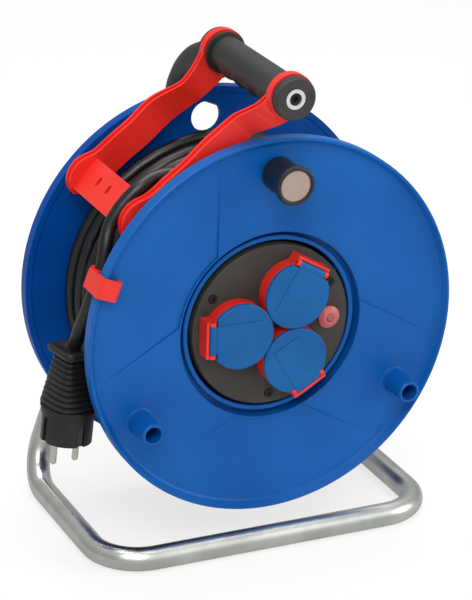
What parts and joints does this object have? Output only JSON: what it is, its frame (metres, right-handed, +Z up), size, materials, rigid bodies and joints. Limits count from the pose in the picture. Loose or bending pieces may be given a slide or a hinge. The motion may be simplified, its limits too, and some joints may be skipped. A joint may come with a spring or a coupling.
{
  "type": "cord reel",
  "caption": "Cord reel: a drum with covered sockets and a winding knob, turning on a bent steel tube stand with a carrying grip and cable guide.",
  "frame": {"origin": "on the floor, midway between the reel's sides and between its front and rear ends, cord and plug left out", "axes": "+Z up, the socket side faces -Y, +X to the right as seen from the socket side; the drum turns about +Y"},
  "size_m": [0.3112, 0.2134, 0.372],
  "materials": {
    "steel_tube": "silver coated steel tube",
    "black_plastic": "fine-grained black plastic",
    "zinc_screws": "zinc plated",
    "axle_steel": "turned steel",
    "black_screws": "blackened steel",
    "red_plastic": "smooth red plastic",
    "cord_rubber": "black rubber sheath",
    "plug_rubber": "moulded black rubber",
    "nickel": "nickel plated brass",
    "blue_front": "moulded blue plastic",
    "blue_rear": "moulded blue plastic",
    "white_nylon": "white nylon",
    "gland_black": "black nylon",
    "dish_grey": "dark grey plastic",
    "insert_black": "black heat-resistant plastic",
    "lid_blue": "moulded blue plastic",
    "cover_red": "clear red rubber",
    "button_red": "dark red plastic",
    "badge_plastic": "plain pale disc"
  },
  "bodies": {
    "stand": {"foot_tube": "steel_tube", "hub_bracket": "black_plastic", "shoulder": "black_plastic", "bracket_screws": "zinc_screws", "axle": "axle_steel", "axle_nut": "zinc_screws", "axle_washer": "zinc_screws", "axle_screw": "zinc_screws", "grip_tube": "axle_steel", "grip": "black_plastic", "grip_cap": "black_plastic", "grip_ferrule": "zinc_screws", "grip_screw": "black_screws", "cable_guide": "red_plastic", "cable_clip": "red_plastic", "free_cord": "cord_rubber", "plug_boot": "plug_rubber", "plug_body": "plug_rubber", "plug_pins": "nickel", "plug_earth": "nickel"},
    "drum": {"front_flange": "blue_front", "rear_flange": "blue_rear", "core_barrel": "blue_rear", "core_screws": "zinc_screws", "bearing_bush": "white_nylon", "wound_cord": "cord_rubber", "cord_gland": "gland_black", "socket_dish": "dish_grey", "dish_screws": "black_screws", "socket_frame_a": "red_plastic", "socket_frame_b": "red_plastic", "socket_frame_c": "red_plastic", "socket_insert_a": "insert_black", "socket_insert_b": "insert_black", "socket_insert_c": "insert_black", "earth_clips": "nickel", "hinge_pins": "nickel", "reset_cover": "cover_red", "breaker": "insert_black", "knob_spindle": "axle_steel"},
    "lid_left": {"lid_a": "lid_blue"},
    "lid_upper": {"lid_b": "lid_blue"},
    "lid_lower": {"lid_c": "lid_blue"},
    "button": {"reset_button": "button_red"},
    "turning_knob": {"knob": "black_plastic", "knob_disc": "badge_plastic"}
  },
  "joints": [
    {"name": "drum_turn", "type": "hinge", "parent": "stand", "child": "drum", "pos_m": [0, -0.00975, 0.174], "axis": [0, 1, 0], "continuous": true},
    {"name": "knob_spin", "type": "hinge", "parent": "drum", "child": "turning_knob", "pos_m": [0, -0.08675, 0.2925], "axis": [0, 1, 0], "continuous": true},
    {"name": "lid_left_swing", "type": "hinge", "parent": "drum", "child": "lid_left", "pos_m": [-0.0517, -0.08425, 0.174], "axis": [0, 0, -1], "range_deg": [0, 105], "stiffness_Nm_per_rad": 0.008, "springref_deg": -28.65},
    {"name": "lid_upper_swing", "type": "hinge", "parent": "drum", "child": "lid_upper", "pos_m": [0.02585, -0.08425, 0.21877], "axis": [-0.866, 0, 0.5], "range_deg": [0, 105], "stiffness_Nm_per_rad": 0.008, "springref_deg": -28.65},
    {"name": "lid_lower_swing", "type": "hinge", "parent": "drum", "child": "lid_lower", "pos_m": [0.02585, -0.08425, 0.12923], "axis": [0.866, 0, 0.5], "range_deg": [0, 105], "stiffness_Nm_per_rad": 0.008, "springref_deg": -28.65},
    {"name": "reset_press", "type": "slide", "parent": "drum", "child": "button", "axis": [0, 1, 0], "range_m": [0, 0.002], "stiffness_N_per_m": 400, "springref_m": -0.0005}
  ]
}
